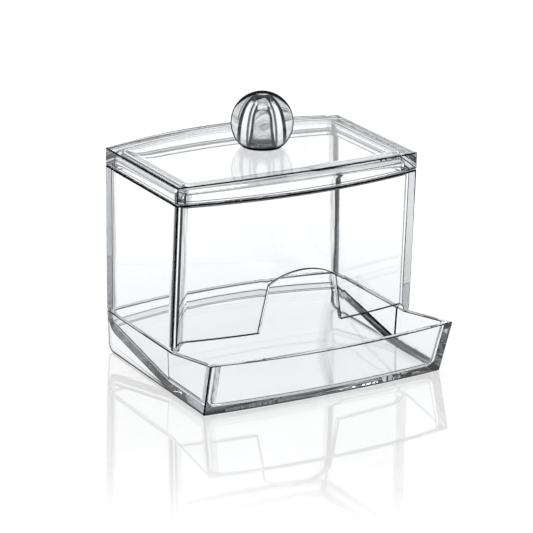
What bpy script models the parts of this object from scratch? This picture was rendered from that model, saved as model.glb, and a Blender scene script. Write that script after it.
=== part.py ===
"""Clear cotton swab holder: a base with a front tray, a bowed box, a crowned lid and a ball knob.

Metres, +Z up. The front of the holder faces -Y, and X runs across it. The origin is at the
middle of the holder's whole outline, on the surface that it stands on.
"""

import math

import bmesh
import bpy
from mathutils import Matrix, Vector

MM = 0.001

# Walls of every moulding
WALL = 2.2 * MM
INNER_RADIUS = 3.0 * MM
EDGE_RADIUS = 0.4 * MM
JOINT_GAP = 0.3 * MM
MERGE = 0.001 * MM

# Box, outside, at the seam where it stands on the base
SEAM_WIDTH = 96.0 * MM
SEAM_DEPTH = 48.8 * MM
SEAM_HEIGHT = 15.3 * MM
BOX_HEIGHT = 53.2 * MM
BOX_BOW = 5.5 * MM
BOX_SIDE_LEAN = 0.5 * MM
BOX_FRONT_LEAN = 2.2 * MM

# Opening in the box's front wall, measured up from the seam
SLOT_RISE = 3.3 * MM
SLOT_INSET = 0.6 * MM
SLOT_CORNER_RADIUS = 2.5 * MM
NOTCH_FOOT_WIDTH = 32.8 * MM
NOTCH_HEAD_WIDTH = 26.2 * MM
NOTCH_SHOULDER_RISE = 20.7 * MM
NOTCH_CROWN_RISE = 24.6 * MM

# Base and tray
SIDE_DRAFT = math.radians(2.6)
TRAY_REACH = 27.6 * MM
TRAY_FRONT_LEAN = 5.7 * MM
TRAY_RIM_RISE = 4.6 * MM
TRAY_RIM_BOW = 4.6 * MM
TRAY_FOOT_BOW = 2.2 * MM
FLOOR_LIFT = 0.4 * MM
KNEE_SETBACK = 4.4 * MM
LAND = 0.4 * MM
REAR_CURVE_RADIUS = 6.0 * MM
REAR_LIP = 0.8 * MM
SKIRT_CORNER_RADIUS = 3.2 * MM

# Lid
LID_SKIRT = 6.2 * MM
LID_CROWN = 1.3 * MM
LID_PANEL = 2.2 * MM
LIP_DEPTH = 1.7 * MM
LIP_WALL = 1.4 * MM
LIP_CLEARANCE = 0.35 * MM

# Knob: a ball with a flat foot and a bell-shaped hollow
KNOB_RADIUS = 11.0 * MM
KNOB_FLAT_RADIUS = 7.0 * MM
BELL_MOUTH_RADIUS = 5.1 * MM
BELL_WAIST_RADIUS = 5.4 * MM
BELL_SHOULDER_RADIUS = 4.7 * MM
BELL_HEAD_RADIUS = 3.1 * MM
BELL_CEILING = 2.0 * MM
BELL_SLACK = 0.1 * MM

# Post of the lid inside the knob: a foot, a body, a neck and a head held in the bell's top
POST_FOOT_RADIUS = 4.7 * MM
POST_BODY_RADIUS = 3.9 * MM
POST_NECK_RADIUS = 2.2 * MM

# Fineness of curved surfaces
BOW_STEPS = 28
ARC_STEPS = 7
FLAT_STEPS = 1
TURN_STEPS = 48
SPHERE_STEPS = 18
CUT_MARGIN = 3.0 * MM

PARTING_HEIGHT = SEAM_HEIGHT + BOX_HEIGHT
RIM_HEIGHT = SEAM_HEIGHT + TRAY_RIM_RISE
BOX_TOP_WIDTH = SEAM_WIDTH - 2 * BOX_SIDE_LEAN
BOX_TOP_DEPTH = SEAM_DEPTH + 2 * BOX_FRONT_LEAN
RIM_CORNER = SEAM_DEPTH / 2 + TRAY_REACH
FOOT_CORNER = RIM_CORNER - TRAY_FRONT_LEAN
REAR_REACH = BOX_TOP_DEPTH / 2 + BOX_BOW
FRONT_REACH = RIM_CORNER + TRAY_RIM_BOW
BOX_Y = (FRONT_REACH - REAR_REACH) / 2


def bow(u, depth):
    """How far a bowed wall stands out at u, which runs from -1 to 1 across the holder."""
    return depth * (1 - u * u)


def blend(a, b, t):
    return a + (b - a) * t


def arc(centre, radius, start, end, steps):
    """Points on an arc in the (y, z) plane, angles in radians from +y towards +z."""
    points = []
    for i in range(steps + 1):
        angle = blend(start, end, i / steps)
        points.append((centre[0] + radius * math.cos(angle), centre[1] + radius * math.sin(angle)))
    return points


def material(name):
    mat = bpy.data.materials.new(name)
    mat.use_nodes = True
    shader = mat.node_tree.nodes["Principled BSDF"]
    shader.inputs["Base Color"].default_value = (0.93, 0.95, 0.96, 1.0)
    shader.inputs["Roughness"].default_value = 0.03
    shader.inputs["Metallic"].default_value = 0.0
    shader.inputs["IOR"].default_value = 1.57
    shader.inputs["Transmission Weight"].default_value = 1.0
    return mat


def add_object(name, bm):
    """Closes a bmesh into an object whose faces point outwards."""
    bmesh.ops.recalc_face_normals(bm, faces=bm.faces)
    mesh = bpy.data.meshes.new(name)
    bm.to_mesh(mesh)
    bm.free()
    obj = bpy.data.objects.new(name, mesh)
    bpy.context.scene.collection.objects.link(obj)
    return obj


def stations(radius, steps):
    """(share, drop, inset) of each row of a loft, from its left end to its right end.

    A row lies at share times the half width less drop. Near an end the rows follow a quarter
    circle of the given radius, and their sections shrink by inset, which rounds the end's edges.
    """
    end = []
    for i in range(ARC_STEPS if radius else 0):
        angle = math.pi / 2 * (1 - i / ARC_STEPS)
        end.append((radius * (1 - math.sin(angle)), radius * (1 - math.cos(angle))))
    left = [(-1, drop, inset) for drop, inset in end]
    middle = [(blend(-1, 1, i / steps), radius, 0) for i in range(steps + 1)]
    right = [(1, drop, inset) for drop, inset in reversed(end)]
    return left + middle + right


def loft(section, half_width, reach, radius=0, steps=BOW_STEPS):
    """A solid of (y, z) sections set across the holder, with the edges of its ends rounded.

    section(u, inset) gives the points of one section, where u is its place as a share of reach,
    and half_width(z) is the solid's half width at a height, so that the end faces can lean.
    """
    bm = bmesh.new()
    rows = []
    for share, drop, inset in stations(radius, steps):
        u = share * (half_width(SEAM_HEIGHT) - drop) / reach
        rows.append([bm.verts.new((share * (half_width(z) - drop), y, z))
                     for y, z in section(u, inset)])
    for row, following in zip(rows, rows[1:]):
        for j in range(len(row)):
            k = (j + 1) % len(row)
            bm.faces.new((row[j], row[k], following[k], following[j]))
    bm.faces.new(rows[0])
    bm.faces.new(list(reversed(rows[-1])))
    bmesh.ops.remove_doubles(bm, verts=bm.verts, dist=MERGE)
    return bm


def turned(profile, height, steps=TURN_STEPS):
    """A solid turned about the box's upright axis from (radius, z) points, top to bottom."""
    bm = bmesh.new()
    rings = []
    for radius, z in profile:
        if radius == 0:
            rings.append([bm.verts.new((0, BOX_Y, height + z))])
            continue
        ring = []
        for i in range(steps):
            angle = 2 * math.pi * i / steps
            ring.append(bm.verts.new((radius * math.cos(angle), BOX_Y + radius * math.sin(angle),
                                      height + z)))
        rings.append(ring)
    for ring, following in zip(rings, rings[1:]):
        for i in range(steps):
            k = (i + 1) % steps
            if len(ring) == 1:
                bm.faces.new((ring[0], following[i], following[k]))
            elif len(following) == 1:
                bm.faces.new((ring[i], ring[k], following[0]))
            else:
                bm.faces.new((ring[i], ring[k], following[k], following[i]))
    return bm


def combine(target, tool, operation):
    """Applies one exact Boolean with a tool that isn't needed afterwards."""
    modifier = target.modifiers.new(tool.name, "BOOLEAN")
    modifier.operation = operation
    modifier.solver = "EXACT"
    modifier.object = tool
    graph = bpy.context.evaluated_depsgraph_get()
    mesh = bpy.data.meshes.new_from_object(target.evaluated_get(graph))
    target.modifiers.clear()
    old = target.data
    target.data = mesh
    mesh.name = target.name
    bpy.data.meshes.remove(old)
    tool_mesh = tool.data
    bpy.data.objects.remove(tool)
    bpy.data.meshes.remove(tool_mesh)


def seat_on_axis(obj):
    """Puts a lifting piece's origin on the lift axis, where the lid meets the box."""
    seat = Vector((0, BOX_Y, PARTING_HEIGHT))
    obj.data.transform(Matrix.Translation(-seat))
    obj.location = seat


def finish(obj, mat):
    obj.data.materials.clear()
    obj.data.materials.append(mat)
    obj.data.shade_smooth()
    obj.data.set_sharp_from_angle(angle=math.radians(25))


def box_half_depth(z):
    """Half depth of the box at its corners, extended past its ends along the same lean."""
    return SEAM_DEPTH / 2 + BOX_FRONT_LEAN * (z - SEAM_HEIGHT) / BOX_HEIGHT


def box_half_width(z):
    return SEAM_WIDTH / 2 - BOX_SIDE_LEAN * (z - SEAM_HEIGHT) / BOX_HEIGHT


def box_column(low, high, wall):
    """Sections of the box's outline between two heights, drawn in by wall."""
    def section(u, inset):
        out = bow(u, BOX_BOW) - wall - inset
        return [(BOX_Y - box_half_depth(low) - out, low), (BOX_Y - box_half_depth(high) - out, high),
                (BOX_Y + box_half_depth(high) + out, high), (BOX_Y + box_half_depth(low) + out, low)]
    return section


def make_box(mat):
    low = SEAM_HEIGHT + JOINT_GAP
    reach = SEAM_WIDTH / 2
    outside = loft(box_column(low, PARTING_HEIGHT, 0), box_half_width, reach, EDGE_RADIUS)
    box = add_object("swab_box", outside)
    inside = loft(box_column(low - CUT_MARGIN, PARTING_HEIGHT + CUT_MARGIN, WALL),
                  lambda z: box_half_width(z) - WALL, reach, INNER_RADIUS)
    combine(box, add_object("box_inside", inside), "DIFFERENCE")
    combine(box, front_opening(low), "DIFFERENCE")
    finish(box, mat)


def front_opening(low):
    """Cutter for the slot under the front wall and the arched notch above its middle."""
    half = SEAM_WIDTH / 2 - WALL - SLOT_INSET
    edge = SEAM_HEIGHT + SLOT_RISE
    shoulder = SEAM_HEIGHT + NOTCH_SHOULDER_RISE
    crown = SEAM_HEIGHT + NOTCH_CROWN_RISE
    head = NOTCH_HEAD_WIDTH / 2
    rise = crown - shoulder
    arch_radius = (head * head + rise * rise) / (2 * rise)
    arch_angle = math.asin(head / arch_radius)
    points = [(-half, low - CUT_MARGIN)]
    points += arc((-half + SLOT_CORNER_RADIUS, edge - SLOT_CORNER_RADIUS), SLOT_CORNER_RADIUS,
                  math.pi, math.pi / 2, ARC_STEPS)
    points.append((-NOTCH_FOOT_WIDTH / 2, edge))
    points += arc((0, crown - arch_radius), arch_radius, math.pi / 2 + arch_angle,
                  math.pi / 2 - arch_angle, 4 * ARC_STEPS)
    points.append((NOTCH_FOOT_WIDTH / 2, edge))
    points += arc((half - SLOT_CORNER_RADIUS, edge - SLOT_CORNER_RADIUS), SLOT_CORNER_RADIUS,
                  math.pi / 2, 0, ARC_STEPS)
    points.append((half, low - CUT_MARGIN))
    bm = bmesh.new()
    front = BOX_Y - box_half_depth(PARTING_HEIGHT) - BOX_BOW - CUT_MARGIN
    face = bm.faces.new([bm.verts.new((x, front, z)) for x, z in points])
    pushed = bmesh.ops.extrude_face_region(bm, geom=[face])
    moved = [item for item in pushed["geom"] if isinstance(item, bmesh.types.BMVert)]
    bmesh.ops.translate(bm, verts=moved, vec=(0, BOX_Y - front, 0))
    return add_object("front_opening", bm)


def base_half_width(z):
    return SEAM_WIDTH / 2 + (z - SEAM_HEIGHT) * math.tan(SIDE_DRAFT)


def tray_front(u, z):
    """Y of the tray's front face at u and z, extended past the rim along the same lean."""
    foot = FOOT_CORNER + bow(u, TRAY_FOOT_BOW)
    rim = RIM_CORNER + bow(u, TRAY_RIM_BOW)
    return BOX_Y - blend(foot, rim, z / RIM_HEIGHT)


def rear_face(u):
    return BOX_Y + SEAM_DEPTH / 2 + bow(u, BOX_BOW)


KNEE_Y = BOX_Y - SEAM_DEPTH / 2 + KNEE_SETBACK


def floor_angle():
    """Slope of the floor whose rear curve meets the rear wall just below the seam."""
    run = rear_face(0) - REAR_CURVE_RADIUS - KNEE_Y
    rise = SEAM_HEIGHT - REAR_LIP - FLOOR_LIFT
    return math.atan2(rise, run) - math.asin(REAR_CURVE_RADIUS / math.hypot(run, rise))


def rear_curve(u, offset):
    """The curve from the rear wall into the sloping floor, offset inwards from the underside."""
    angle = floor_angle()
    centre_y = rear_face(u) - REAR_CURVE_RADIUS
    centre_z = (FLOOR_LIFT + (centre_y - KNEE_Y) * math.tan(angle)
                + REAR_CURVE_RADIUS / math.cos(angle))
    return arc((centre_y, centre_z), REAR_CURVE_RADIUS - offset, 0, angle - math.pi / 2, ARC_STEPS)


def base_block(u, inset):
    """Section of the base, solid from the table to above its rim."""
    top = RIM_HEIGHT + CUT_MARGIN
    rear = rear_face(u) - inset
    corner = (rear_face(u) - SKIRT_CORNER_RADIUS, SKIRT_CORNER_RADIUS)
    points = [(rear, top)] + arc(corner, SKIRT_CORNER_RADIUS - inset, 0, -math.pi / 2, ARC_STEPS)
    points += [(tray_front(u, 0) + inset, inset), (tray_front(u, top) + inset, top)]
    return points


def base_under(u, inset):
    """Section of the space below the floor, open to the rear."""
    curve = rear_curve(u, 0)
    rear = rear_face(u) + CUT_MARGIN
    front = tray_front(u, 0) + WALL
    return ([(rear, -CUT_MARGIN), (rear, curve[0][1])] + curve
            + [(KNEE_Y, FLOOR_LIFT), (front, FLOOR_LIFT), (front, -CUT_MARGIN)])


def base_hollow(u, inset):
    """Section of the space above the floor, with a rounded foot at the tray's front wall."""
    top = RIM_HEIGHT + 2 * CUT_MARGIN
    wall = WALL + inset
    floor = FLOOR_LIFT + wall
    knee = KNEE_Y - wall * math.tan(floor_angle() / 2)
    lean = (tray_front(u, 0) - tray_front(u, top)) / top
    radius = INNER_RADIUS - inset
    span = math.hypot(1, lean)
    foot = (tray_front(u, floor + radius) + (wall + radius) * span, floor + radius)
    points = [(rear_face(u) - wall, top)] + rear_curve(u, wall) + [(knee, floor)]
    points += arc(foot, radius, 1.5 * math.pi, math.pi + math.atan(lean), ARC_STEPS)
    points.append((tray_front(u, top) + wall * span, top))
    return points


def rim_trim():
    """Cutter that leaves the seam level, the side rims rising and the front rim level."""
    rear = BOX_Y + REAR_REACH + CUT_MARGIN
    front = BOX_Y - FRONT_REACH - 2 * CUT_MARGIN
    top = RIM_HEIGHT + 3 * CUT_MARGIN
    points = [(rear, SEAM_HEIGHT), (BOX_Y - SEAM_DEPTH / 2, SEAM_HEIGHT),
              (BOX_Y - RIM_CORNER, RIM_HEIGHT), (front, RIM_HEIGHT), (front, top), (rear, top)]
    return add_object("rim_trim", loft(lambda u, inset: points, lambda z: SEAM_WIDTH,
                                       SEAM_WIDTH, steps=FLAT_STEPS))


def land_section():
    """Section of the thicker part of a side wall under the box, from the floor's core up."""
    core = WALL / 2
    top = RIM_HEIGHT + 2 * CUT_MARGIN
    return ([(rear_face(1) - core, top)] + rear_curve(1, core)
            + [(KNEE_Y, FLOOR_LIFT + core), (KNEE_Y, top)])


def make_land(side):
    """A plate set into one side wall's inner half, standing LAND proud of it inside."""
    bm = bmesh.new()
    rows = []
    for inset in (WALL / 2, WALL + LAND):
        rows.append([bm.verts.new((side * (base_half_width(z) - inset), y, z))
                     for y, z in land_section()])
    for j in range(len(rows[0])):
        k = (j + 1) % len(rows[0])
        bm.faces.new((rows[0][j], rows[0][k], rows[1][k], rows[1][j]))
    bm.faces.new(rows[0])
    bm.faces.new(list(reversed(rows[1])))
    return add_object("land", bm)


def make_base(mat):
    reach = SEAM_WIDTH / 2
    base = add_object("base_tray", loft(base_block, base_half_width, reach, EDGE_RADIUS))
    under = loft(base_under, lambda z: base_half_width(z) - WALL, reach)
    combine(base, add_object("base_under", under), "DIFFERENCE")
    hollow = loft(base_hollow, lambda z: base_half_width(z) - WALL, reach, INNER_RADIUS)
    combine(base, add_object("base_hollow", hollow), "DIFFERENCE")
    for side in (-1, 1):
        combine(base, make_land(side), "UNION")
    combine(base, rim_trim(), "DIFFERENCE")
    finish(base, mat)


def lid_top(u):
    return PARTING_HEIGHT + LID_SKIRT + bow(u, LID_CROWN)


def lid_column(low, wall, high=None, fillet=0):
    """Sections of the lid's outline from a height up to a level top or to the crowned top.

    The crowned top lies a fillet's wall below the lid's top, and a fillet rounds its edges.
    """
    def section(u, inset):
        out = BOX_TOP_DEPTH / 2 + bow(u, BOX_BOW) - wall - inset
        if high is not None:
            return [(BOX_Y - out, low), (BOX_Y - out, high), (BOX_Y + out, high), (BOX_Y + out, low)]
        top = lid_top(u) - inset - (LID_PANEL if wall else 0)
        radius = fillet - inset
        return ([(BOX_Y - out, low)]
                + arc((BOX_Y - out + radius, top - radius), radius, math.pi, math.pi / 2, ARC_STEPS)
                + arc((BOX_Y + out - radius, top - radius), radius, math.pi / 2, 0, ARC_STEPS)
                + [(BOX_Y + out, low)])
    return section


def make_lid(mat):
    reach = BOX_TOP_WIDTH / 2
    low = PARTING_HEIGHT + JOINT_GAP
    lip_wall = WALL + LIP_CLEARANCE
    lip_low = PARTING_HEIGHT - LIP_DEPTH
    inner_wall = lip_wall + LIP_WALL
    block = loft(lid_column(low, 0, fillet=EDGE_RADIUS), lambda z: reach, reach, EDGE_RADIUS)
    lid = add_object("lid", block)
    lip = loft(lid_column(lip_low, lip_wall, low + LID_PANEL), lambda z: reach - lip_wall, reach,
               INNER_RADIUS - LIP_CLEARANCE)
    combine(lid, add_object("lip", lip), "UNION")
    under = loft(lid_column(lip_low - CUT_MARGIN, inner_wall, fillet=INNER_RADIUS),
                 lambda z: reach - inner_wall, reach, INNER_RADIUS)
    combine(lid, add_object("lid_under", under), "DIFFERENCE")
    combine(lid, add_object("post", turned(post_profile(), lid_top(0))), "UNION")
    finish(lid, mat)
    seat_on_axis(lid)


def knob_centre():
    """Height of the ball's centre above the lid's middle."""
    return JOINT_GAP + math.sqrt(KNOB_RADIUS ** 2 - KNOB_FLAT_RADIUS ** 2)


def smooth(knots, steps=4):
    """A Catmull-Rom curve through (radius, z) knots."""
    points = []
    for i in range(len(knots) - 1):
        p = [knots[max(0, min(len(knots) - 1, i + k))] for k in (-1, 0, 1, 2)]
        for j in range(steps):
            t = j / steps
            points.append(tuple(
                0.5 * (2 * p[1][a] + (p[2][a] - p[0][a]) * t
                       + (2 * p[0][a] - 5 * p[1][a] + 4 * p[2][a] - p[3][a]) * t * t
                       + (3 * p[1][a] - p[0][a] - 3 * p[2][a] + p[3][a]) * t ** 3)
                for a in (0, 1)))
    points.append(knots[-1])
    return points


def bell_profile():
    """(radius, z) points of the ball's hollow, from its mouth up, z from the lid's middle."""
    centre = knob_centre()
    ceiling = centre + KNOB_RADIUS - BELL_CEILING
    return smooth([(BELL_MOUTH_RADIUS, JOINT_GAP), (BELL_WAIST_RADIUS, centre - 0.2 * KNOB_RADIUS),
                   (BELL_SHOULDER_RADIUS, centre + 0.25 * KNOB_RADIUS),
                   (BELL_HEAD_RADIUS, centre + 0.6 * KNOB_RADIUS),
                   (BELL_HEAD_RADIUS * 0.85, ceiling)])


def post_profile():
    """(radius, z) points of the lid's post, from its head down, z from the lid's middle."""
    centre = knob_centre()
    tip = centre + KNOB_RADIUS - BELL_CEILING - JOINT_GAP
    head = BELL_HEAD_RADIUS - JOINT_GAP - BELL_SLACK
    knots = [(head * 0.8, tip), (head, centre + 0.65 * KNOB_RADIUS),
             (POST_NECK_RADIUS, centre + 0.45 * KNOB_RADIUS),
             (POST_BODY_RADIUS * 0.9, centre + 0.13 * KNOB_RADIUS),
             (POST_BODY_RADIUS, centre - 0.2 * KNOB_RADIUS),
             (POST_FOOT_RADIUS, centre - 0.55 * KNOB_RADIUS), (POST_FOOT_RADIUS, -LID_PANEL / 2)]
    return [(0, tip)] + smooth(knots) + [(0, -LID_PANEL / 2)]


def make_knob(mat):
    centre = knob_centre()
    flat = math.asin(KNOB_FLAT_RADIUS / KNOB_RADIUS)
    profile = [(0, centre + KNOB_RADIUS)]
    for i in range(1, SPHERE_STEPS + 1):
        angle = (math.pi - flat) * i / SPHERE_STEPS
        profile.append((KNOB_RADIUS * math.sin(angle), centre + KNOB_RADIUS * math.cos(angle)))
    profile += bell_profile()
    profile.append((0, profile[-1][1]))
    knob = add_object("knob_ball", turned(profile, lid_top(0)))
    finish(knob, mat)
    seat_on_axis(knob)


def clear_scene():
    for obj in list(bpy.data.objects):
        bpy.data.objects.remove(obj)


def main():
    clear_scene()
    make_base(material("base_clear"))
    make_box(material("box_clear"))
    make_lid(material("lid_clear"))
    make_knob(material("knob_clear"))


main()
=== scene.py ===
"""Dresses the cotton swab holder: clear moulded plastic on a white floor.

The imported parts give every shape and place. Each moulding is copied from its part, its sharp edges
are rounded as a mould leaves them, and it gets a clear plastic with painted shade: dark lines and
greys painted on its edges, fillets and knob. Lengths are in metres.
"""

import math

import bmesh
import bpy
from bpy.props import FloatProperty, FloatVectorProperty, IntProperty, PointerProperty
from mathutils import Matrix, Vector


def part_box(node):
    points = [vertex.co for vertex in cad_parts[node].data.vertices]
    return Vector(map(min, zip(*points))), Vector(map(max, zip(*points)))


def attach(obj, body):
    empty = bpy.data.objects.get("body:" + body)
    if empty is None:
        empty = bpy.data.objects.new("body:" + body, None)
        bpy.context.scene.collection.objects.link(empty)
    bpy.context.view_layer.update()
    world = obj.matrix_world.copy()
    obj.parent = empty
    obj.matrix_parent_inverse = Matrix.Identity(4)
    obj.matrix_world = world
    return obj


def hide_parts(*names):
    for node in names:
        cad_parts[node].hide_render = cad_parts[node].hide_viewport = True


bl_info = {
    "name": "Cotton Swab Holder",
    "version": (1, 0, 0),
    "blender": (4, 5, 0),
    "location": "3D View > Sidebar > Swab Holder",
    "description": "Dresses a clear cotton swab holder and sets its stage",
    "category": "Object",
}

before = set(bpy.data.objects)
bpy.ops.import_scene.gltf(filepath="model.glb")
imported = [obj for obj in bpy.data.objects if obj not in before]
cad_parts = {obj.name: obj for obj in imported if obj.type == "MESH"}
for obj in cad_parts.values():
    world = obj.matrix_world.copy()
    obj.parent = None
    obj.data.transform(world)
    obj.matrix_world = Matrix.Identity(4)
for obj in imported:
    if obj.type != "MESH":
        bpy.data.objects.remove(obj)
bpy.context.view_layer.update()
# Face attribute that marks where dark shade is painted along the sharp edges.
PAINTED_SHADE_LAYER = "painted_edge_shade"
WHITE = (1, 1, 1, 1)
SMOOTH_ANGLE = math.radians(50)

# Side of the square image in pixels, and width of the camera's sensor in millimetres.
IMAGE_SIDE = 533
SENSOR = 36.0

# In the values for the plastic, a pair is where a mark starts and where it is full, and three
# numbers are from, to and the width of the fade.

# Painted shade on the upright fillets, grey across them and dark within, by the share of the level
# normal that points along X. The rear corners have a wider painted line, which starts along Y. A
# face counts as upright by how little its normal points up or down, and the base shows its painted
# lines only to this share.
SOFT_UPRIGHT = (0.2, 0.85, 0.12)
CORE_UPRIGHT = (0.6, 0.8, 0.06)
REAR_UPRIGHT = (0.53, 0.85, 0.05)
REAR_START = (0.01, 0.03)
UPRIGHT_TILT = (0.5, 0.3)
BASE_LINES = 0.6

# Streaks in the painted grey shade of the upright fillets: scale along each axis, contrast, and
# least share of the grey.
STREAKS = (1300, 1300, 80)
STREAK_CONTRAST = (0.35, 0.65)
STREAK_LEAST = 0.45

# Painted shade on the level fillets, pale grey across them and dark lines along their sides, by the
# share of the normal that points up or down.
SOFT_LEVEL = (0.25, 0.75, 0.1)
LOW_LEVEL = (0.22, 0.26, 0.02)
HIGH_LEVEL = (0.76, 0.82, 0.05)

# Darkness of the painted shade at which an edge gets a painted black surface over the clear plastic,
# and how rough that surface is.
LINE_FADE = (0.75, 1.0)
LINE_ROUGHNESS = 0.3

# Painted shade: dark line along the gap between box and lid, and the foot of the box where no
# painted shade is drawn.
JOINT_GAP = 0.0003
JOINT_FADE = 0.00005
BOX_LINE = 0.0006
LID_LINE = 0.0002
SEAM_CLEAR = 0.0006

# Flow ripples: scale and detail of the noise, and strength of the bump.
RIPPLE_SCALE = 90.0
RIPPLE_DETAIL = 2.0
RIPPLE_STRENGTH = 0.35

# Knob's painted shade. Painted dark rims go by how far the light grazes the plastic, and the ball's
# own is moved towards its outline, less so near its crown. The rest, for the painted grey near the
# rim and the painted dark foot and mouth, are depths under the ball's surface and heights above its
# foot.
SKIN_DEPTH = (0.0004, 0.0002)
BALL_RIM = (0.35, 0.53)
BALL_SHIFT = 0.27
CROWN_SHIFT = 0.2
CROWN_TILT = (0.4, 0.9)
PAINTED_GREY_RIM = (0.2, 0.5)
PAINTED_GREY_START = (0.005, 0.008)
PAINTED_GREY_SHARE = 0.35
FOOT_END = (0.003, 0.001)
MOUTH_END = (0.0036, 0.0014)

# Painted shade on the post inside the knob: its radius, its painted dark rim, its painted dark foot
# and its painted grey top.
POST_RADIUS = 0.006
POST_FADE = 0.0004
POST_RIM = (0.22, 0.42)
POST_FOOT_END = (0.0056, 0.0026)
POST_TOP_START = (0.0105, 0.0135)
POST_TOP_SHARE = 0.1

# Backdrop: how straight ahead of the camera its upright sides lie, and how soft they are.
BACKDROP_EDGE = 0.86
BACKDROP_FADE = 0.08
FLOOR_ROUGHNESS = 0.04


class EdgeSettings(bpy.types.PropertyGroup):
    """How the mouldings' edges are rounded and marked"""
    radius: FloatProperty(
        name="Edge Radius", description="Rounding of the mouldings' sharp edges",
        default=0.00026, min=0.00005, max=0.0006, unit="LENGTH")
    segments: IntProperty(
        name="Edge Segments", description="Faces across one rounded edge", default=2, min=1, max=6)
    sharp_angle: FloatProperty(
        name="Sharp Angle", description="Edges that turn by more than this are rounded",
        default=math.radians(30), subtype="ANGLE")
    fine_width: FloatProperty(
        name="Fine Width", description="Edges shorter than this may be dissolved in a flat wall",
        default=0.0003, unit="LENGTH")
    line_width: FloatProperty(
        name="Line Width", description="Faces narrower than this belong to a sharp edge",
        default=0.00026, unit="LENGTH")
    fine_turn: FloatProperty(
        name="Fine Turn", description="Least turn between two faces of a sharp edge",
        default=math.radians(8), subtype="ANGLE")
    merge: FloatProperty(
        name="Merge Distance", description="Corners nearer than this become one",
        default=0.00003, unit="LENGTH")
    flat_angle: FloatProperty(
        name="Flat Angle", description="Triangles that turn by less than this share one flat wall",
        default=math.radians(0.03), subtype="ANGLE")
    noise_angle: FloatProperty(
        name="Noise Angle", description="Short edges that turn by less than this are dissolved",
        default=math.radians(0.3), subtype="ANGLE")
    bowed_angle: FloatProperty(
        name="Bowed Angle", description="Triangles that turn by less than this make one bowed face",
        default=math.radians(1.5), subtype="ANGLE")


class PlasticSettings(bpy.types.PropertyGroup):
    """Colours and strengths of the clear plastic and of the shade painted on it"""
    clear: FloatVectorProperty(
        name="Clear Colour", description="Colour of the flat walls", size=3,
        default=(0.985, 0.992, 1.0), min=0, max=1, subtype="COLOR")
    # Painted shade: this colour is painted over the rounded edges, corners and fillets.
    edge: FloatVectorProperty(
        name="Painted Shade Colour", description="Colour of the rounded edges and corners", size=3,
        default=(0.02, 0.023, 0.03), min=0, max=1, subtype="COLOR")
    soft_upright: FloatProperty(
        name="Painted Upright Fillet Shade", description="Share of the edge colour across the upright fillets",
        default=0.75, subtype="FACTOR")
    core_upright: FloatProperty(
        name="Painted Upright Lines", description="Share of the edge colour in the upright fillets' lines",
        default=1.0, subtype="FACTOR")
    soft_level: FloatProperty(
        name="Painted Level Fillet Shade", description="Share of the edge colour across the level fillets",
        default=0.2, subtype="FACTOR")
    core_level: FloatProperty(
        name="Painted Level Lines", description="Share of the edge colour in the level fillets' lines",
        default=0.85, subtype="FACTOR")
    # Painted shade: a black surface painted over the darkest edges in place of the clear plastic.
    line: FloatVectorProperty(
        name="Painted Line Colour", description="Colour of the sharp edges' own surface", size=3,
        default=(0.003, 0.0035, 0.005), min=0, max=1, subtype="COLOR")
    drawn: FloatProperty(
        name="Painted Line Share", description="Share of the sharp edges' own surface",
        default=0.98, subtype="FACTOR")
    depth: FloatVectorProperty(
        name="Depth Colour", description="Colour that light takes on along a wall", size=3,
        default=(0.14, 0.18, 0.24), min=0, max=1, subtype="COLOR")
    density: FloatProperty(
        name="Depth Density", description="Light lost along a metre of plastic", default=9.0, min=0)
    ior: FloatProperty(name="IOR", description="Index of refraction", default=1.53, min=1)
    ripple: FloatProperty(
        name="Ripple", description="Height of the faint flow ripples on the walls",
        default=0.00002, min=0, unit="LENGTH")


class StageSettings(bpy.types.PropertyGroup):
    """Floor, studio and lamp"""
    floor_side: FloatProperty(
        name="Floor Side", description="Side of the square floor", default=12.0, unit="LENGTH")
    floor_drop: FloatProperty(
        name="Floor Drop", description="Gap under the holder", default=0.0002, unit="LENGTH")
    reflection: FloatProperty(
        name="Reflection", description="Share of the floor that mirrors under the holder",
        default=0.37, subtype="FACTOR")
    reflection_start: FloatProperty(
        name="Reflection Start", description="Distance from the middle at which the mirror fades",
        default=0.07, unit="LENGTH")
    reflection_end: FloatProperty(
        name="Reflection End", description="Distance from the middle at which the mirror has gone",
        default=0.19, unit="LENGTH")
    shading: FloatProperty(
        name="Shading", description="Share of the floor that takes shadows", default=0.1,
        subtype="FACTOR")
    floor_level: FloatProperty(
        name="Floor Level", description="Strength of the floor's own light", default=1.09)
    backdrop_low: FloatProperty(
        name="Backdrop Low", description="Height at which the white wall around the floor ends",
        default=math.radians(7), subtype="ANGLE")
    backdrop_high: FloatProperty(
        name="Backdrop High", description="Height at which the backdrop ahead ends",
        default=math.radians(40), subtype="ANGLE")
    backdrop_soft: FloatProperty(
        name="Backdrop Softness", description="Angle over which the white fades",
        default=math.radians(6), subtype="ANGLE")
    grey_level: FloatProperty(
        name="Grey Level", description="Brightness of the studio away from the backdrop",
        default=0.7, subtype="FACTOR")
    lamp_side: FloatProperty(
        name="Lamp Side", description="Side of the square lamp above", default=0.8, unit="LENGTH")
    lamp_height: FloatProperty(
        name="Lamp Height", description="Height of the lamp above the floor", default=1.2,
        unit="LENGTH")
    lamp_power: FloatProperty(
        name="Lamp Power", description="Power of the lamp", default=15.0, unit="POWER")
    bounces: IntProperty(
        name="Bounces", description="Times that light may turn inside the walls", default=64)


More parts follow.
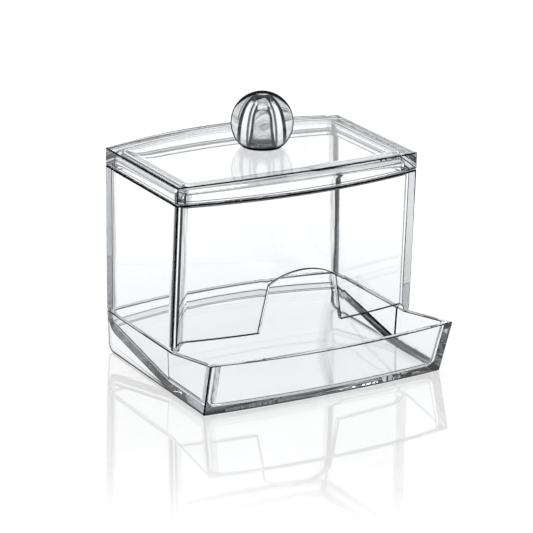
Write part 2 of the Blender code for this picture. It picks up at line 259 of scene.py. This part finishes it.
class CameraSettings(bpy.types.PropertyGroup):
    """Place, direction and lens of the camera"""
    place: FloatVectorProperty(
        name="Place", description="Camera position", size=3, default=(-0.46393, -0.78864, 0.35007),
        subtype="TRANSLATION", unit="LENGTH")
    yaw: FloatProperty(
        name="Yaw", description="Turn from straight ahead to the right",
        default=math.radians(30.24), subtype="ANGLE")
    pitch: FloatProperty(
        name="Pitch", description="Tilt above the horizon", default=math.radians(-18.98),
        subtype="ANGLE")
    roll: FloatProperty(
        name="Roll", description="Turn about the line of sight", default=math.radians(1.17),
        subtype="ANGLE")
    focal_pixels: FloatProperty(
        name="Focal Pixels", description="Focal length in pixels of the square image",
        default=2764.97)


class Sock:
    """A shader value that takes part in Python expressions."""

    def __init__(self, tree, socket):
        self.tree = tree
        self.socket = socket

    def maths(self, operation, first, second):
        return self.tree.node("ShaderNodeMath", {"operation": operation}, {0: first, 1: second})

    def __add__(self, other):
        return self.maths("ADD", self, other)

    def __radd__(self, other):
        return self.maths("ADD", other, self)

    def __sub__(self, other):
        return self.maths("SUBTRACT", self, other)

    def __rsub__(self, other):
        return self.maths("SUBTRACT", other, self)

    def __mul__(self, other):
        return self.maths("MULTIPLY", self, other)

    def __rmul__(self, other):
        return self.maths("MULTIPLY", other, self)

    def __truediv__(self, other):
        return self.maths("DIVIDE", self, other)

    def __rtruediv__(self, other):
        return self.maths("DIVIDE", other, self)

    def over(self, other):
        """The greater of two values, as where one dark mark lies over another."""
        return self.maths("MAXIMUM", self, other)


class Tree:
    """Builds one node tree, a node at a time."""

    def __init__(self, owner):
        owner.use_nodes = True
        self.nodes = owner.node_tree.nodes
        self.links = owner.node_tree.links
        self.nodes.clear()

    def node(self, kind, settings=None, inputs=None, output=0):
        """Adds a node, sets it up, fills its sockets and returns one of its outputs."""
        made = self.nodes.new(kind)
        for name, value in (settings or {}).items():
            setattr(made, name, value)
        for name, value in (inputs or {}).items():
            if isinstance(value, Sock):
                self.links.new(value.socket, made.inputs[name])
            else:
                made.inputs[name].default_value = value
        return Sock(self, made.outputs[output]) if made.outputs else made

    def vector(self, operation, *vectors, output=0):
        """Vector maths, by default with a vector as its result."""
        return self.node("ShaderNodeVectorMath", {"operation": operation},
                         dict(enumerate(vectors)), output)

    def part(self, vector, axis):
        """The part of a vector along one axis."""
        return self.node("ShaderNodeSeparateXYZ", {}, {0: vector}, axis)

    def band(self, value, low, high, soft):
        """1 from low to high, fading to 0 on both sides."""
        return self.fade(value, low - soft, low) * self.fade(value, high + soft, high)

    def fade(self, value, low, high):
        """A smooth step from 0 at low to 1 at high."""
        return self.node("ShaderNodeMapRange", {"interpolation_type": "SMOOTHSTEP"},
                         {"Value": value, "From Min": low, "From Max": high})


def opaque(colour):
    return (*colour, 1.0)


def select_only(piece):
    bpy.ops.object.select_all(action="DESELECT")
    piece.select_set(True)
    bpy.context.view_layer.objects.active = piece


def copy_of_part(node, name, settings):
    """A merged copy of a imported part, with whole faces in place of its triangles."""
    select_only(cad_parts[node])
    bpy.ops.object.duplicate()
    piece = bpy.context.view_layer.objects.active
    piece.parent = None
    for key in list(piece.keys()):
        del piece[key]
    piece.name = name
    piece.data.name = name
    bpy.ops.mesh.customdata_custom_splitnormals_clear()
    bpy.ops.object.mode_set(mode="EDIT")
    bpy.ops.mesh.select_all(action="SELECT")
    bpy.ops.mesh.remove_doubles(threshold=settings.merge)
    bpy.ops.mesh.dissolve_degenerate(threshold=settings.merge)
    bpy.ops.mesh.dissolve_limited(angle_limit=settings.flat_angle)
    bpy.ops.mesh.select_all(action="SELECT")
    bpy.ops.mesh.tris_convert_to_quads(face_threshold=settings.bowed_angle, shape_threshold=math.pi)
    bpy.ops.mesh.select_mode(type="EDGE")
    bpy.ops.mesh.select_all(action="DESELECT")
    shape = bmesh.from_edit_mesh(piece.data)
    for edge in shape.edges:
        flat = edge.calc_face_angle(1) < settings.noise_angle
        if flat and edge.calc_length() < settings.fine_width:
            edge.select_set(True)
    bmesh.update_edit_mesh(piece.data)
    bpy.ops.mesh.dissolve_edges(use_verts=False)
    bpy.ops.mesh.select_all(action="DESELECT")
    bpy.ops.object.mode_set(mode="OBJECT")
    return piece


def round_edges(piece, settings):
    """Bevels every sharp edge."""
    select_only(piece)
    bpy.ops.object.mode_set(mode="EDIT")
    bpy.ops.mesh.select_mode(type="EDGE")
    bpy.ops.mesh.select_all(action="DESELECT")
    shape = bmesh.from_edit_mesh(piece.data)
    for edge in shape.edges:
        if len(edge.link_faces) == 2 and edge.calc_face_angle() > settings.sharp_angle:
            edge.select_set(True)
    bmesh.update_edit_mesh(piece.data)
    bpy.ops.mesh.bevel(offset=settings.radius, segments=settings.segments, profile=0.5,
                       affect="EDGES", clamp_overlap=False, miter_outer="SHARP", loop_slide=False)
    bpy.ops.object.mode_set(mode="OBJECT")


def turns_an_edge(face, settings):
    """Whether a face is narrow and turns along one of its long sides."""
    longest = max(edge.calc_length() for edge in face.edges)
    turn = max(edge.calc_face_angle(0) for edge in face.edges if edge.calc_length() > longest / 2)
    return face.calc_area() / longest < settings.line_width and turn > settings.fine_turn


def mark_edges_for_painted_shade(piece, settings):
    """Marks the narrow faces that turn round a sharp edge, where the material paints dark shade."""
    shape = bmesh.new()
    shape.from_mesh(piece.data)
    # These marks carry painted dark shade along the sharp edges.
    painted_shade_marks = shape.faces.layers.float.new(PAINTED_SHADE_LAYER)
    found = {face for face in shape.faces if turns_an_edge(face, settings)}
    for face in found:
        neighbours = {other for edge in face.edges for other in edge.link_faces if other != face}
        face[painted_shade_marks] = float(bool(neighbours & found))
    shape.to_mesh(piece.data)
    shape.free()


def smooth_flat(piece):
    """Smooth shading that keeps the broad walls flat and turns only over the narrow faces."""
    select_only(piece)
    bpy.ops.object.shade_smooth_by_angle(angle=SMOOTH_ANGLE)
    modifier = piece.modifiers.new("flat_walls", "WEIGHTED_NORMAL")
    modifier.mode = "FACE_AREA"
    modifier.keep_sharp = True
    bpy.ops.object.modifier_apply(modifier=modifier.name)


def dress(node, name, body, plastic):
    """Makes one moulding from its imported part."""
    settings = bpy.context.scene.swab_edges
    piece = copy_of_part(node, name, settings)
    round_edges(piece, settings)
    mark_edges_for_painted_shade(piece, settings)
    smooth_flat(piece)
    piece.data.materials.clear()
    piece.data.materials.append(plastic)
    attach(piece, body)
    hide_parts(node)


def painted_upright_shade(tree, place, across, lines):
    """Painted shade on the upright fillets: streaky painted grey across them, and painted dark lines
    within them.

    across is the share of the level normal that points along X, and lines scales the painted dark
    lines.
    """
    settings = bpy.context.scene.swab_plastic
    drawn_out = tree.vector("MULTIPLY", place, STREAKS)
    noise = tree.node("ShaderNodeTexNoise", {}, {"Vector": drawn_out, "Scale": 1.0})
    streaks = STREAK_LEAST + (1.0 - STREAK_LEAST) * tree.fade(noise, *STREAK_CONTRAST)
    soft = tree.band(across, *SOFT_UPRIGHT) * (settings.soft_upright * streaks)
    rear = tree.band(across, *REAR_UPRIGHT) * tree.fade(tree.part(place, "Y"), *REAR_START)
    core = tree.band(across, *CORE_UPRIGHT).over(rear)
    return soft.over(core * (settings.core_upright * lines))


def painted_level_shade(tree, z):
    """Painted shade on the level fillets: pale painted grey across them, and painted dark lines
    along both their sides.

    z is the share of the normal that points up or down.
    """
    settings = bpy.context.scene.swab_plastic
    soft = tree.band(z, *SOFT_LEVEL) * settings.soft_level
    core = tree.band(z, *LOW_LEVEL).over(tree.band(z, *HIGH_LEVEL))
    return soft.over(core * settings.core_level)


def clear_plastic(name, lines=1.0, joint=None, start=None, round_form=None):
    """Polished clear plastic with painted shade: bright walls, painted dark edges, streaky painted
    grey fillets and faint flow ripples.

    lines scales the painted dark lines in the upright fillets. joint is the lowest and highest place
    of the painted dark line along the gap between box and lid, and start is the height below which
    no painted shade is drawn. round_form is a function that paints shade on what is round: it takes
    the tree, the place, the normal and how far the light grazes the surface, and gives where the
    round form is and how dark the painted shade is there.
    """
    settings = bpy.context.scene.swab_plastic
    plastic = bpy.data.materials.new(name)
    tree = Tree(plastic)
    place = tree.node("ShaderNodeTexCoord", output="Object")
    facing = tree.node("ShaderNodeTexCoord", output="Normal")
    squared = tree.vector("MULTIPLY", facing, facing)
    x, y, z = (tree.part(squared, axis) for axis in "XYZ")
    standing = tree.fade(z, *UPRIGHT_TILT)
    # Painted shade: grey and dark lines on the fillets, from the direction of the normal.
    painted_shade_mask = (standing * painted_upright_shade(tree, place, x / (x + y), lines)).over(painted_level_shade(tree, z))
    if round_form:
        # Painted shade: dark rims on round forms where the light grazes them.
        grazing = tree.node("ShaderNodeLayerWeight", output="Facing")
        where, darkness = round_form(tree, place, facing, grazing)
        painted_shade_mask = painted_shade_mask * (1.0 - where) + where * darkness
    # Painted shade: full edge colour on the faces marked round the sharp edges.
    edge = tree.node("ShaderNodeAttribute", {"attribute_name": PAINTED_SHADE_LAYER}, output="Fac")
    painted_shade_mask = painted_shade_mask.over(edge)
    if start is not None:
        painted_shade_mask = painted_shade_mask * tree.fade(tree.part(place, "Z"), start, start + JOINT_FADE)
    # Painted shade: dark line along the gap between box and lid.
    if joint is not None:
        painted_shade_mask = painted_shade_mask.over(tree.band(tree.part(place, "Z"), *joint, JOINT_FADE) * standing)
    ripple = tree.node("ShaderNodeTexNoise", {}, {
        "Vector": place, "Scale": RIPPLE_SCALE, "Detail": RIPPLE_DETAIL})
    colour = tree.node("ShaderNodeMix", {"data_type": "RGBA"},
                       {"Factor": painted_shade_mask, 6: opaque(settings.clear), 7: opaque(settings.edge)},
                       output=2)
    bump = tree.node("ShaderNodeBump", {}, {
        "Strength": RIPPLE_STRENGTH, "Distance": settings.ripple, "Height": ripple})
    surface = tree.node("ShaderNodeBsdfPrincipled", {}, {
        "Base Color": colour, "Roughness": 0.0, "IOR": settings.ior, "Transmission Weight": 1.0,
        "Normal": bump})
    # Painted shade: a black surface mixed in where the painted shade is darkest.
    dark = tree.node("ShaderNodeBsdfPrincipled", {}, {
        "Base Color": opaque(settings.line), "Roughness": LINE_ROUGHNESS,
        "Specular IOR Level": 0.0})
    drawn = tree.node("ShaderNodeMixShader", {}, {
        0: tree.fade(painted_shade_mask, *LINE_FADE) * settings.drawn, 1: surface, 2: dark})
    inside = tree.node("ShaderNodeVolumeAbsorption", {}, {
        "Color": opaque(settings.depth), "Density": settings.density})
    tree.node("ShaderNodeOutputMaterial", {}, {"Surface": drawn, "Volume": inside})
    return plastic


def from_knob_foot(tree, place):
    """Place measured from the middle of the knob's foot, and height above that foot."""
    low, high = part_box("knob_ball")
    away = tree.vector("SUBTRACT", place, ((low[0] + high[0]) / 2, (low[1] + high[1]) / 2, low[2]))
    return away, tree.part(away, "Z")


def knob_shade(tree, place, facing, grazing):
    """Painted shade on the knob: dark outlines of the ball and of its hollow, the ball's own
    thickest at the top, with painted grey near its rim and a painted dark foot and mouth.
    """
    low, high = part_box("knob_ball")
    radius = (high[0] - low[0]) / 2
    away, height = from_knob_foot(tree, place)
    from_middle = tree.vector("SUBTRACT", away, (0, 0, high[2] - low[2] - radius))
    depth = radius - tree.vector("LENGTH", from_middle, output="Value")
    skin = tree.fade(depth, *SKIN_DEPTH)
    shift = skin * (BALL_SHIFT - CROWN_SHIFT * tree.fade(tree.part(facing, "Z"), *CROWN_TILT))
    rim = tree.fade(grazing - shift, *BALL_RIM)
    painted_grey = skin * tree.fade(grazing, *PAINTED_GREY_RIM) * tree.fade(height, *PAINTED_GREY_START) * PAINTED_GREY_SHARE
    foot = skin * tree.fade(height, *FOOT_END)
    mouth = (1.0 - skin) * tree.fade(height, *MOUTH_END)
    return 1.0, rim.over(painted_grey).over(foot).over(mouth)


def post_shade(tree, place, facing, grazing):
    """Painted shade on the lid's post: dark outlines, dark at its foot and grey at its top."""
    away, height = from_knob_foot(tree, place)
    from_axis = tree.vector("LENGTH", tree.vector("MULTIPLY", away, (1, 1, 0)), output="Value")
    within = tree.fade(from_axis, POST_RADIUS + POST_FADE, POST_RADIUS)
    where = within * tree.fade(height, 0.0, POST_FADE)
    foot = tree.fade(height, *POST_FOOT_END)
    top = tree.fade(height, *POST_TOP_START) * POST_TOP_SHARE
    return where, tree.fade(grazing, *POST_RIM).over(foot).over(top)


class SWABHOLDER_OT_base_tray(bpy.types.Operator):
    """Makes the base moulding with its front tray"""
    bl_idname = "swabholder.base_tray"
    bl_label = "Base and Tray"

    def execute(self, context):
        dress("base_tray", "base_moulding", "holder", clear_plastic(
            "base_plastic", lines=BASE_LINES))
        return {"FINISHED"}


class SWABHOLDER_OT_swab_box(bpy.types.Operator):
    """Makes the four-walled box with its finger notch"""
    bl_idname = "swabholder.swab_box"
    bl_label = "Swab Box"

    def execute(self, context):
        low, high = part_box("swab_box")
        # Painted shade: a dark line at the box's top under the lid, none at its foot.
        dress("swab_box", "box_moulding", "holder", clear_plastic(
            "box_plastic", joint=(high[2] - BOX_LINE, high[2]), start=low[2] + SEAM_CLEAR))
        return {"FINISHED"}


class SWABHOLDER_OT_lid(bpy.types.Operator):
    """Makes the crowned lid with its locating lip and knob post"""
    bl_idname = "swabholder.lid"
    bl_label = "Lid"

    def execute(self, context):
        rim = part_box("swab_box")[1][2] + JOINT_GAP
        # Painted shade: a dark line at the lid's foot, and the post's painted shade.
        dress("lid", "lid_moulding", "lid_unit", clear_plastic(
            "lid_plastic", joint=(rim, rim + LID_LINE), round_form=post_shade))
        return {"FINISHED"}


class SWABHOLDER_OT_knob(bpy.types.Operator):
    """Makes the ball knob with its bell-shaped hollow"""
    bl_idname = "swabholder.knob"
    bl_label = "Ball Knob"

    def execute(self, context):
        # Painted shade: the knob's dark outlines, grey near its rim, dark foot and mouth.
        dress("knob_ball", "knob_moulding", "lid_unit", clear_plastic(
            "knob_plastic", round_form=knob_shade))
        return {"FINISHED"}


def level_ahead(camera):
    """The camera's direction along the floor."""
    return Vector((math.sin(camera.yaw), math.cos(camera.yaw), 0))


def view_axes(camera):
    """The camera's right, up and forward directions."""
    right = Vector((math.cos(camera.yaw), -math.sin(camera.yaw), 0))
    forward = level_ahead(camera) * math.cos(camera.pitch) + Vector((0, 0, math.sin(camera.pitch)))
    up = right.cross(forward)
    turned_right = right * math.cos(camera.roll) + up * math.sin(camera.roll)
    turned_up = up * math.cos(camera.roll) - right * math.sin(camera.roll)
    return turned_right, turned_up, forward


def floor_material(stage):
    """White floor that glows like a light table, takes soft shadows and mirrors what is near."""
    floor = bpy.data.materials.new("floor_white")
    tree = Tree(floor)
    glow = tree.node("ShaderNodeEmission", {}, {"Color": WHITE, "Strength": stage.floor_level})
    matt = tree.node("ShaderNodeBsdfDiffuse", {}, {"Color": WHITE})
    mirror = tree.node("ShaderNodeBsdfGlossy", {}, {"Roughness": FLOOR_ROUGHNESS})
    white = tree.node("ShaderNodeMixShader", {}, {0: stage.shading, 1: glow, 2: matt})
    away = tree.vector("LENGTH", tree.node("ShaderNodeTexCoord", output="Object"), output="Value")
    share = stage.reflection * tree.fade(away, stage.reflection_end, stage.reflection_start)
    both = tree.node("ShaderNodeMixShader", {}, {0: share, 1: white, 2: mirror})
    tree.node("ShaderNodeOutputMaterial", {}, {"Surface": both})
    return floor


def studio_world(stage, camera):
    """A low white wall all round, a high white backdrop ahead, and pale grey above them."""
    world = bpy.data.worlds.new("studio")
    tree = Tree(world)
    direction = tree.node("ShaderNodeTexCoord", output="Generated")
    ahead = tree.vector("DOT_PRODUCT", direction, level_ahead(camera), output="Value")
    height = tree.part(direction, "Z")
    wide = tree.fade(ahead, BACKDROP_EDGE - BACKDROP_FADE, BACKDROP_EDGE)
    tall = tree.fade(height, math.sin(stage.backdrop_high + stage.backdrop_soft),
                     math.sin(stage.backdrop_high))
    low = tree.fade(height, math.sin(stage.backdrop_low + stage.backdrop_soft),
                    math.sin(stage.backdrop_low))
    share = low.over(wide * tall)
    colour = tree.node("ShaderNodeMix", {"data_type": "RGBA"},
                       {"Factor": share, 6: opaque((stage.grey_level,) * 3), 7: WHITE}, output=2)
    lit = tree.node("ShaderNodeBackground", {}, {"Color": colour})
    tree.node("ShaderNodeOutputWorld", {}, {"Surface": lit})
    bpy.context.scene.world = world


class SWABHOLDER_OT_stage(bpy.types.Operator):
    """Sets the floor, the studio, the lamp and the camera"""
    bl_idname = "swabholder.stage"
    bl_label = "Stage"

    def execute(self, context):
        stage = context.scene.swab_stage
        camera = context.scene.swab_camera
        bpy.ops.object.select_all(action="DESELECT")
        bpy.ops.mesh.primitive_plane_add(size=stage.floor_side, location=(0, 0, -stage.floor_drop))
        floor = context.object
        floor.name = "floor"
        floor.data.materials.append(floor_material(stage))
        studio_world(stage, camera)
        lamp = bpy.data.lights.new("top_softbox", "AREA")
        lamp.shape = "SQUARE"
        lamp.size = stage.lamp_side
        lamp.energy = stage.lamp_power
        softbox = bpy.data.objects.new("top_softbox", lamp)
        softbox.location = (0, 0, stage.lamp_height)
        context.scene.collection.objects.link(softbox)
        right, up, forward = view_axes(camera)
        lens = bpy.data.cameras.new("photo_view")
        lens.sensor_width = SENSOR
        lens.lens = camera.focal_pixels / IMAGE_SIDE * SENSOR
        seat = bpy.data.objects.new("photo_view", lens)
        context.scene.collection.objects.link(seat)
        placed = Matrix((right, up, -forward)).transposed().to_4x4()
        placed.translation = Vector(camera.place)
        seat.matrix_world = placed
        context.scene.camera = seat
        context.scene.view_settings.view_transform = "Standard"
        context.scene.cycles.max_bounces = stage.bounces
        context.scene.cycles.transmission_bounces = stage.bounces
        context.scene.cycles.glossy_bounces = stage.bounces
        return {"FINISHED"}


class SWABHOLDER_PT_panel(bpy.types.Panel):
    """Lists the pieces, the stage and their settings"""
    bl_idname = "SWABHOLDER_PT_panel"
    bl_label = "Swab Holder"
    bl_space_type = "VIEW_3D"
    bl_region_type = "UI"
    bl_category = "Swab Holder"

    def draw(self, context):
        column = self.layout.column()
        for operator in OPERATORS:
            column.operator(operator.bl_idname)
        for name in SETTINGS:
            group = getattr(context.scene, name)
            for key in group.__annotations__:
                column.prop(group, key)


OPERATORS = (
    SWABHOLDER_OT_base_tray,
    SWABHOLDER_OT_swab_box,
    SWABHOLDER_OT_lid,
    SWABHOLDER_OT_knob,
    SWABHOLDER_OT_stage,
)
SETTINGS = {
    "swab_edges": EdgeSettings,
    "swab_plastic": PlasticSettings,
    "swab_stage": StageSettings,
    "swab_camera": CameraSettings,
}


def register():
    for name, group in SETTINGS.items():
        bpy.utils.register_class(group)
        setattr(bpy.types.Scene, name, PointerProperty(type=group))
    for operator in OPERATORS:
        bpy.utils.register_class(operator)
    bpy.utils.register_class(SWABHOLDER_PT_panel)


def unregister():
    bpy.utils.unregister_class(SWABHOLDER_PT_panel)
    for operator in reversed(OPERATORS):
        bpy.utils.unregister_class(operator)
    for name, group in reversed(SETTINGS.items()):
        delattr(bpy.types.Scene, name)
        bpy.utils.unregister_class(group)


def main():
    register()
    bpy.ops.swabholder.base_tray()
    bpy.ops.swabholder.swab_box()
    bpy.ops.swabholder.lid()
    bpy.ops.swabholder.knob()
    bpy.ops.swabholder.stage()


if __name__ == "__main__":
    main()
